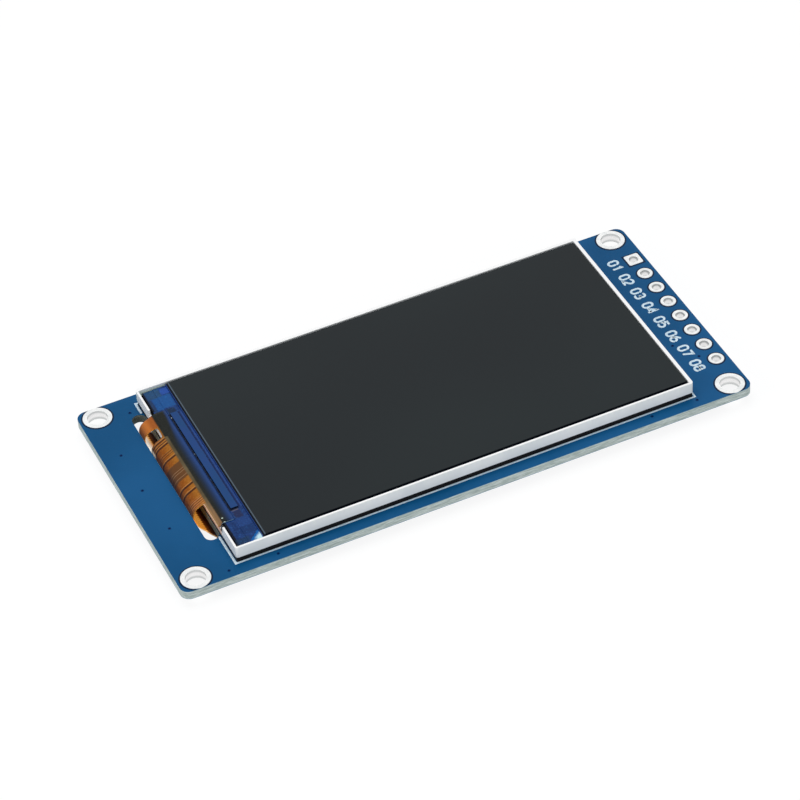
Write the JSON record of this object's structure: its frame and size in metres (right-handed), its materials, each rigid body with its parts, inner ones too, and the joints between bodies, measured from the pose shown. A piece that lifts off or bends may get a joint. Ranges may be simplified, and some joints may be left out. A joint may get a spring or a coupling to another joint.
{
  "type": "tft lcd module",
  "caption": "Flat colour display in a slim white frame on a rectangular blue carrier board, with a folded flex through a slot at one end and a row of pin holes at the other.",
  "frame": {"origin": "middle of the board's outline, at the underside of the tallest part behind the board", "axes": "+X along the board's long side towards the pin holes, +Y along the short side towards the square first pad, +Z out of the display's face"},
  "size_m": [0.062, 0.0286, 0.0041],
  "materials": {
    "board_laminate": "blue solder mask on glass-fibre laminate, semi-gloss",
    "tinned_copper": "tinned copper, satin silver",
    "foam_tape": "black foam with adhesive on both sides",
    "white_moulding": "white moulded plastic, slight sheen",
    "white_film": "white matt film",
    "clear_plastic": "clear polished plastic",
    "clear_film": "clear micro-prism film",
    "lamp_body": "white lamp housing with yellow face",
    "flex_film": "amber polyimide over copper tracks, semi-gloss",
    "black_tape": "black light-blocking tape",
    "polarizer_film": "dark polarizing film, fine anti-glare finish",
    "display_glass": "thin polished glass over dark wiring",
    "silicon": "bare silicon chip with a blue cast",
    "blue_resin": "blue cured resin, glossy",
    "solder": "bright solder",
    "black_moulding": "black moulding compound",
    "capacitor_ceramic": "tan ceramic",
    "resistor_ceramic": "black glaze on white ceramic"
  },
  "bodies": {
    "root": {"printed_circuit_board": "board_laminate", "mounting_pads": "tinned_copper", "header_pads": "tinned_copper", "mounting_tape": "foam_tape", "backlight_frame": "white_moulding", "reflector_sheet": "white_film", "light_guide": "clear_plastic", "backlight_leds": "lamp_body", "led_flex": "flex_film", "diffuser_sheet": "white_film", "lower_prism_sheet": "clear_film", "upper_prism_sheet": "clear_film", "rim_tape": "black_tape", "rear_polarizer": "polarizer_film", "array_glass": "display_glass", "color_filter_glass": "display_glass", "front_polarizer": "polarizer_film", "driver_chip": "silicon", "ledge_resin": "blue_resin", "display_flex": "flex_film", "flex_solder": "solder", "rear_lands": "tinned_copper", "voltage_regulator": "black_moulding", "regulator_leads": "tinned_copper", "lamp_transistor": "black_moulding", "transistor_leads": "tinned_copper", "capacitors": "capacitor_ceramic", "capacitor_ends": "solder", "resistors": "resistor_ceramic", "resistor_ends": "solder"}
  },
  "joints": []
}
